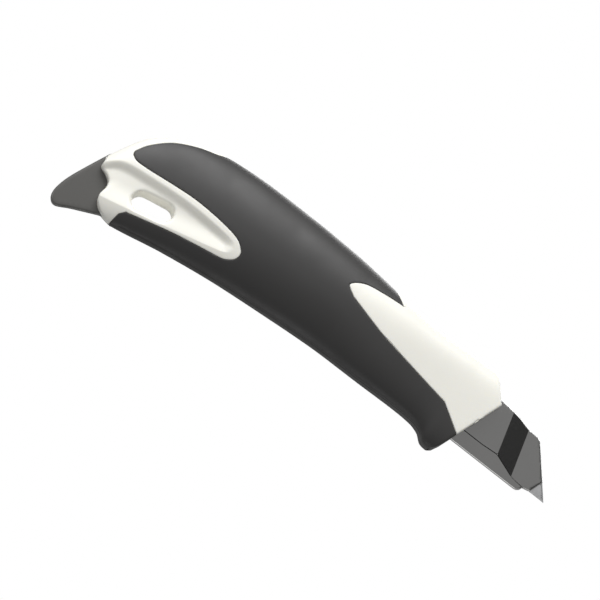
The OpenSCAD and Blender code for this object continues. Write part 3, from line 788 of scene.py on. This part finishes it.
def break_edges(name, node, body, slot, width):
    """A copy of a CAD node with bevelled edges, in its place."""
    mesh = frame["nodes"][node].data.copy()
    mesh.name = name
    while mesh.materials:
        mesh.materials.pop()
    b = bmesh.new()
    b.from_mesh(mesh)
    bmesh.ops.remove_doubles(b, verts=b.verts, dist=1e-6)
    bmesh.ops.dissolve_limit(b, angle_limit=math.radians(1), verts=b.verts, edges=b.edges)
    sharp = [e for e in b.edges if e.is_manifold and e.calc_face_angle(0) > FOLD_ANGLE]
    bmesh.ops.bevel(b, geom=sharp, offset=width * MM, segments=2, profile=0.6, affect="EDGES",
                    clamp_overlap=True)
    b.to_mesh(mesh)
    b.free()
    mesh.attributes.new("rim", "FLOAT", "POINT")
    add_piece(name, mesh, [node], body, slot, sharp=30)


INNER = [
    ("stop_block", "rear_stop", "handle", "carriage_plastic", 0.2),
    ("sheath_cross_pin", "sheath_pin", "handle", "spring_steel", 0.2),
    ("blade_back_spring", "nose_spring", "handle", "spring_steel", 0.04),
    ("notched_rack", "lock_rack", "handle", "rack_steel", 0.08),
    ("rack_rivet_set", "rack_rivets", "handle", "spring_steel", 0.1),
    ("tail_pin_set", "tail_pins", "handle", "spring_steel", 0.2),
    ("shell_screw_set", "shell_screws", "handle", "fastener_steel", 0.12),
    ("carriage_block", "blade_carriage", "carriage", "carriage_plastic", 0.15),
    ("guide_post_pair", "guide_posts", "carriage", "spring_steel", 0.15),
    ("leaf_spring", "press_spring", "carriage", "spring_steel", 0.04),
    ("tooth_plate", "lock_plate", "thumb", "rack_steel", 0.08),
    ("tooth_plate_screw", "plate_screws", "thumb", "fastener_steel", 0.08),
]
for name, node, body, slot, width in INNER:
    break_edges(name, node, body, slot, width)

# %% [markdown]
# Three effects are shared by several finishes, so each is a node group with its own inputs: the fine
# texture of a mould or a coating, a slow drift of tone that no real moulding is without, and the pale
# or dark rub that edges collect. A group gives only heights, masks and colours. Each shader stays in
# its own material.

# %% Node helpers and shared effects
MIX_FACTOR, MIX_A, MIX_B, MIX_COLOR = 0, 6, 7, 2
FLOAT, COLOR = "NodeSocketFloat", "NodeSocketColor"


def feed(tree, node, inputs):
    """Set a node's inputs, given as values or as sockets to link from."""
    for key, given in inputs.items():
        if isinstance(given, bpy.types.NodeSocket):
            tree.links.new(given, node.inputs[key])
        else:
            node.inputs[key].default_value = given


def add(tree, kind, inputs=None, **settings):
    """A new node with its inputs and settings."""
    made = tree.nodes.new(kind)
    for key, setting in settings.items():
        setattr(made, key, setting)
    feed(tree, made, inputs or {})
    return made


def math_node(tree, operation, *inputs):
    return add(tree, "ShaderNodeMath", dict(enumerate(inputs)), operation=operation).outputs["Value"]


def noise(tree, scale, detail, roughness, vector=None):
    """Noise over a piece, with its scale per metre."""
    vector = vector or add(tree, "ShaderNodeTexCoord").outputs["Object"]
    return add(tree, "ShaderNodeTexNoise", {"Vector": vector, "Scale": scale, "Detail": detail,
                                            "Roughness": roughness}).outputs["Fac"]


def mix(tree, factor, first, second):
    return add(tree, "ShaderNodeMix", {MIX_FACTOR: factor, MIX_A: first, MIX_B: second},
               data_type="RGBA").outputs[MIX_COLOR]


def new_group(name, inputs, outputs):
    """An empty node group with named sockets, the sockets to read and the node to write to."""
    tree = bpy.data.node_groups.new(name, "ShaderNodeTree")
    for label, (kind, start) in inputs.items():
        socket = tree.interface.new_socket(name=label, in_out="INPUT", socket_type=kind)
        socket.default_value = start
    for label, kind in outputs.items():
        tree.interface.new_socket(name=label, in_out="OUTPUT", socket_type=kind)
    return tree, tree.nodes.new("NodeGroupInput").outputs, tree.nodes.new("NodeGroupOutput")


def use(tree, group, **inputs):
    """Place a group in a material with its own inputs; an input's name uses _ for a space."""
    made = add(tree, "ShaderNodeGroup", node_tree=group)
    feed(tree, made, {key.replace("_", " "): given for key, given in inputs.items()})
    return made.outputs


def rgb(color):
    return (*color, 1.0)


TABLE_TILT = math.radians(-4.8)
grain, given, out = new_group(
    "mould grain", {"Size mm": (FLOAT, 0.3), "Stretch": (FLOAT, 1.0)}, {"Height": FLOAT})
where = add(grain, "ShaderNodeTexCoord").outputs["Object"]
turned = add(grain, "ShaderNodeMapping", {"Vector": where, "Rotation": (0, TABLE_TILT, 0)}).outputs["Vector"]
long_way = add(grain, "ShaderNodeCombineXYZ", {"X": given["Stretch"], "Y": 1.0, "Z": 1.0}).outputs["Vector"]
squeezed = add(grain, "ShaderNodeVectorMath", {0: turned, 1: long_way}, operation="MULTIPLY")
per_metre = math_node(grain, "DIVIDE", 1000.0, given["Size mm"])
feed(grain, out, {"Height": noise(grain, per_metre, 3.0, 0.6, squeezed.outputs["Vector"])})

drift, given, out = new_group(
    "tone drift", {"Color": (COLOR, rgb((0.5, 0.5, 0.5))), "Other Color": (COLOR, rgb((0.4, 0.4, 0.4))),
                   "Size mm": (FLOAT, 20.0), "Roughness": (FLOAT, 0.5), "Spread": (FLOAT, 0.08)},
    {"Color": COLOR, "Roughness": FLOAT})
slow = noise(drift, math_node(drift, "DIVIDE", 1000.0, given["Size mm"]), 4.0, 0.62)
centred = add(drift, "ShaderNodeMapRange", {"Value": slow, "From Min": 0.3, "From Max": 0.7, "To Min": -0.5,
                                            "To Max": 0.5}).outputs["Result"]
rougher = math_node(drift, "MULTIPLY_ADD", centred, given["Spread"], given["Roughness"])
feed(drift, out, {"Color": mix(drift, slow, given["Color"], given["Other Color"]), "Roughness": rougher})

rub, given, out = new_group(
    "edge rub", {"Color": (COLOR, rgb((0.5, 0.5, 0.5))), "Rubbed Color": (COLOR, rgb((0.8, 0.8, 0.8))),
                 "Amount": (FLOAT, 0.5)},
    {"Color": COLOR, "Mask": FLOAT})
near = add(rub, "ShaderNodeAttribute", attribute_name="rim", attribute_type="GEOMETRY").outputs["Fac"]
broken = math_node(rub, "MULTIPLY", near, noise(rub, 420.0, 5.0, 0.7))
sharper = add(rub, "ShaderNodeMapRange", {"Value": broken, "From Min": 0.2, "From Max": 0.6},
              interpolation_type="SMOOTHSTEP").outputs["Result"]
mask = math_node(rub, "MULTIPLY", sharper, given["Amount"])
feed(rub, out, {"Color": mix(rub, mask, given["Color"], given["Rubbed Color"]), "Mask": mask})
print("node groups:", [g.name for g in bpy.data.node_groups])

# %% [markdown]
# Every finish on the knife is one of two families. Plastics and elastomers are dielectrics: their colour
# comes from below the surface and their texture from the mould. Steels are metals: their colour is the
# reflection itself, and the direction of grinding shows as long fine scratches. One function makes a
# finish from a few numbers, and each material below says what the real one is.

# %% One function for every finish
def finish(name, color, other, roughness, grain_mm, grain_depth_mm, metallic=0.0, stretch=1.0, rubbed=None,
           rub_amount=0.0, patch_mm=18.0, spread=0.08, shader=None):
    """A material: its two tones, roughness, texture, and what edges are rubbed to."""
    material = bpy.data.materials.new(name)
    material.use_nodes = True
    tree = material.node_tree
    tone = use(tree, drift, Color=rgb(color), Other_Color=rgb(other), Size_mm=patch_mm, Roughness=roughness,
               Spread=spread)
    worn = use(tree, rub, Color=tone["Color"], Rubbed_Color=rgb(rubbed or color), Amount=rub_amount)
    texture = use(tree, grain, Size_mm=grain_mm, Stretch=stretch)
    bump = add(tree, "ShaderNodeBump", {"Height": texture["Height"], "Strength": 1.0,
                                        "Distance": grain_depth_mm * MM})
    feed(tree, tree.nodes["Principled BSDF"], {
        "Metallic": metallic, "Base Color": worn["Color"], "Roughness": tone["Roughness"],
        "Normal": bump.outputs["Normal"], **(shader or {})})
    return material


# %% [markdown]
# The shells are ABS in a warm ivory white, satin from a lightly textured mould, with a little light
# passing under the surface. The grip is a matte elastomer whose finer, deeper texture scatters light so
# that it never shines. The sheath and the tail plate are coated dark, and the coating is smooth enough
# to mirror softly.

# %% Materials
SHELL_DEPTH = {"Subsurface Weight": 0.12, "Subsurface Scale": 0.002, "Subsurface Radius": (1.0, 0.9, 0.7),
               "IOR": 1.5}
FINISHES = {
    "shell_plastic": finish(
        "ivory_abs", (0.86, 0.85, 0.79), (0.84, 0.83, 0.765), 0.36, 0.35, 0.004, rubbed=(0.89, 0.885, 0.84),
        rub_amount=0.5, shader=SHELL_DEPTH),
    "grip_elastomer": finish(
        "dark_elastomer", (0.030, 0.029, 0.0285), (0.026, 0.025, 0.0245), 0.5, 0.22, 0.008,
        rubbed=(0.05, 0.049, 0.047), rub_amount=0.5, spread=0.1, shader={"IOR": 1.52}),
    "sheath_steel": finish(
        "coated_sheath_steel", (0.4, 0.397, 0.39), (0.36, 0.358, 0.352), 0.13, 0.5, 0.0006, metallic=0.95,
        stretch=0.05, rubbed=(0.45, 0.45, 0.44), rub_amount=0.45, spread=0.04),
    "tail_steel": finish(
        "coated_tail_steel", (0.115, 0.113, 0.107), (0.1, 0.098, 0.094), 0.42, 0.18, 0.006, metallic=0.35,
        rubbed=(0.3, 0.3, 0.29), rub_amount=0.5),
    "blade_steel": finish(
        "ground_blade_steel", (0.95, 0.955, 0.96), (0.9, 0.905, 0.915), 0.24, 0.12, 0.0012, metallic=1.0,
        stretch=0.02, rubbed=(0.9, 0.9, 0.9), rub_amount=0.3, patch_mm=9, spread=0.1),
    "spring_steel": finish(
        "bright_spring_steel", (0.58, 0.585, 0.59), (0.5, 0.505, 0.51), 0.28, 0.3, 0.002, metallic=1.0,
        stretch=0.1, patch_mm=6),
    "rack_steel": finish(
        "stamped_rack_steel", (0.4, 0.405, 0.41), (0.33, 0.335, 0.34), 0.4, 0.25, 0.004, metallic=1.0,
        stretch=0.3, patch_mm=6),
    "carriage_plastic": finish(
        "black_nylon", (0.03, 0.03, 0.031), (0.038, 0.038, 0.039), 0.5, 0.3, 0.006),
    "slider_plastic": finish(
        "black_slider_plastic", (0.022, 0.022, 0.023), (0.028, 0.028, 0.029), 0.4, 0.25, 0.005,
        rubbed=(0.09, 0.09, 0.09), rub_amount=0.6),
    "slider_elastomer": finish(
        "grey_slider_elastomer", (0.115, 0.115, 0.112), (0.1, 0.1, 0.098), 0.66, 0.2, 0.01,
        rubbed=(0.16, 0.16, 0.157), rub_amount=0.4),
    "fastener_steel": finish(
        "plated_screw_steel", (0.27, 0.27, 0.275), (0.2, 0.2, 0.205), 0.36, 0.2, 0.003, metallic=1.0,
        patch_mm=4),
}
for piece in PIECES.values():
    piece.data.materials.append(FINISHES[piece["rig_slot"]])
print(len(FINISHES), "finishes on", len(PIECES), "pieces")

# %% [markdown]
# The camera looks at the right side through a long lens, from a little below so that the underside just
# shows, and turned so that the blade points down to the lower right. It is built from the knife's
# own directions, so it needs no angles guessed against the table.

# %% Camera
LEAN, TILT = math.radians(38), math.radians(-12)
VIEW_WIDE = 0.228
LENS, SENSOR = 200.0, 36.0
ACROSS = Vector((0, 1, 0))
CENTRE = to_frame([(-120.3, 0, 4.0)])[0]

seen_up = UP * math.cos(TILT) + ACROSS * math.sin(TILT)
into = ACROSS * math.cos(TILT) - UP * math.sin(TILT)
right = AHEAD * math.cos(LEAN) + seen_up * math.sin(LEAN)
above = seen_up * math.cos(LEAN) - AHEAD * math.sin(LEAN)
camera = bpy.data.objects.new("camera", bpy.data.cameras.new("camera"))
bpy.context.scene.collection.objects.link(camera)
camera.data.lens, camera.data.sensor_width = LENS, SENSOR
camera.data.clip_start, camera.data.clip_end = 0.05, 20
reach = VIEW_WIDE * LENS / SENSOR
turn = Matrix((right, above, -into)).transposed()
camera.matrix_world = Matrix.Translation(Vector(CENTRE) - into * reach) @ turn.to_4x4()
bpy.context.scene.camera = camera
print("camera stands", round(reach, 2), "m away")

# %% [markdown]
# A product like this is lit softly from above with a white surround. One large panel over the knife
# gives the shape, one at the side lights the flat steel, one behind is for the slider's side, and a weak
# one under the knife lifts the belly. The surround stays dim for reflections while it looks white behind
# the knife. A black card out of sight gives the sheath's sloping bend something dark to mirror, as is
# done in a studio for polished steel. The floor is pale and one-sided, because the camera looks up from
# a little below it.

# %% Light, surround and floor
SCENE = bpy.context.scene
SCENE.view_settings.view_transform = "Standard"
MIDDLE = Vector(CENTRE)


def panel(name, direction, distance, size, power):
    """A soft light panel that faces the middle of the knife."""
    light = bpy.data.lights.new(name, "AREA")
    light.shape, light.size, light.size_y = "RECTANGLE", *size
    light.energy = power
    lamp = bpy.data.objects.new(name, light)
    SCENE.collection.objects.link(lamp)
    away = Vector(direction).normalized()
    lamp.location = MIDDLE + away * distance
    lamp.rotation_euler = away.to_track_quat("Z", "Y").to_euler()


def card(name, middle, across, along, surface, color, roughness):
    """A flat card of the set, from its middle and two half sides; gives the object and its node tree."""
    mesh = bpy.data.meshes.new(name)
    corners = [middle + across * x + along * y for x, y in ((-1, -1), (1, -1), (1, 1), (-1, 1))]
    mesh.from_pydata(corners, [], [(0, 1, 2, 3)])
    made = bpy.data.objects.new(name, mesh)
    SCENE.collection.objects.link(made)
    material = bpy.data.materials.new(surface)
    material.use_nodes = True
    feed(material.node_tree, material.node_tree.nodes["Principled BSDF"],
         {"Base Color": rgb(color), "Roughness": roughness})
    mesh.materials.append(material)
    return made, material.node_tree


panel("top_panel", right * 0.3 + above * 1.0 - into * 0.5, 0.9, (0.9, 0.6), 9)
panel("side_panel", -right * 1.0 + above * 0.6 - into * 0.6, 1.0, (0.6, 0.6), 3)
panel("back_panel", (0.4, 1.0, 0.9), 1.0, (0.8, 0.6), 7)
panel("under_panel", -above * 1.0 - right * 0.5 - into * 0.1, 0.9, (0.6, 0.4), 1.3)

world = bpy.data.worlds.new("surround")
SCENE.world = world
world.use_nodes = True
tree = world.node_tree
ambient = tree.nodes["Background"]
feed(tree, ambient, {"Color": rgb((1, 1, 1)), "Strength": 0.4})
white = add(tree, "ShaderNodeBackground", {"Color": rgb((1, 1, 1)), "Strength": 1.0})
seen = add(tree, "ShaderNodeLightPath").outputs["Is Camera Ray"]
switch = add(tree, "ShaderNodeMixShader", {0: seen, 1: ambient.outputs[0], 2: white.outputs[0]})
feed(tree, tree.nodes["World Output"], {"Surface": switch.outputs[0]})

FLAG_HALF_WIDE, FLAG_HALF_HIGH, FLAG_AWAY = 0.13, 0.3, 0.55
flag_way = (AHEAD * 0.42 + UP * 0.2 - ACROSS * 0.88).normalized()
flag_side = flag_way.cross(UP).normalized()
flag_middle = Vector(to_frame([(-20, 0, 9)])[0]) + flag_way * FLAG_AWAY
flag, _ = card("black_flag", flag_middle, flag_side * FLAG_HALF_WIDE, UP * FLAG_HALF_HIGH, "black_velvet",
               (0.01, 0.01, 0.01), 1.0)
flag.visible_camera = False
flag.visible_diffuse = False
flag.visible_shadow = False
flag.visible_transmission = False

FLOOR_HALF = 1.5
floor, tree = card("floor", Vector((0, 0, 0)), Vector((FLOOR_HALF, 0, 0)), Vector((0, FLOOR_HALF, 0)),
                   "pale_floor", (0.82, 0.82, 0.81), 0.7)
floor.visible_diffuse = False
floor.visible_glossy = False
behind = add(tree, "ShaderNodeNewGeometry").outputs["Backfacing"]
paper = tree.nodes["Principled BSDF"]
clear = add(tree, "ShaderNodeBsdfTransparent")
one_sided = add(tree, "ShaderNodeMixShader", {0: behind, 1: paper.outputs[0], 2: clear.outputs[0]})
feed(tree, tree.nodes["Material Output"], {"Surface": one_sided.outputs[0]})
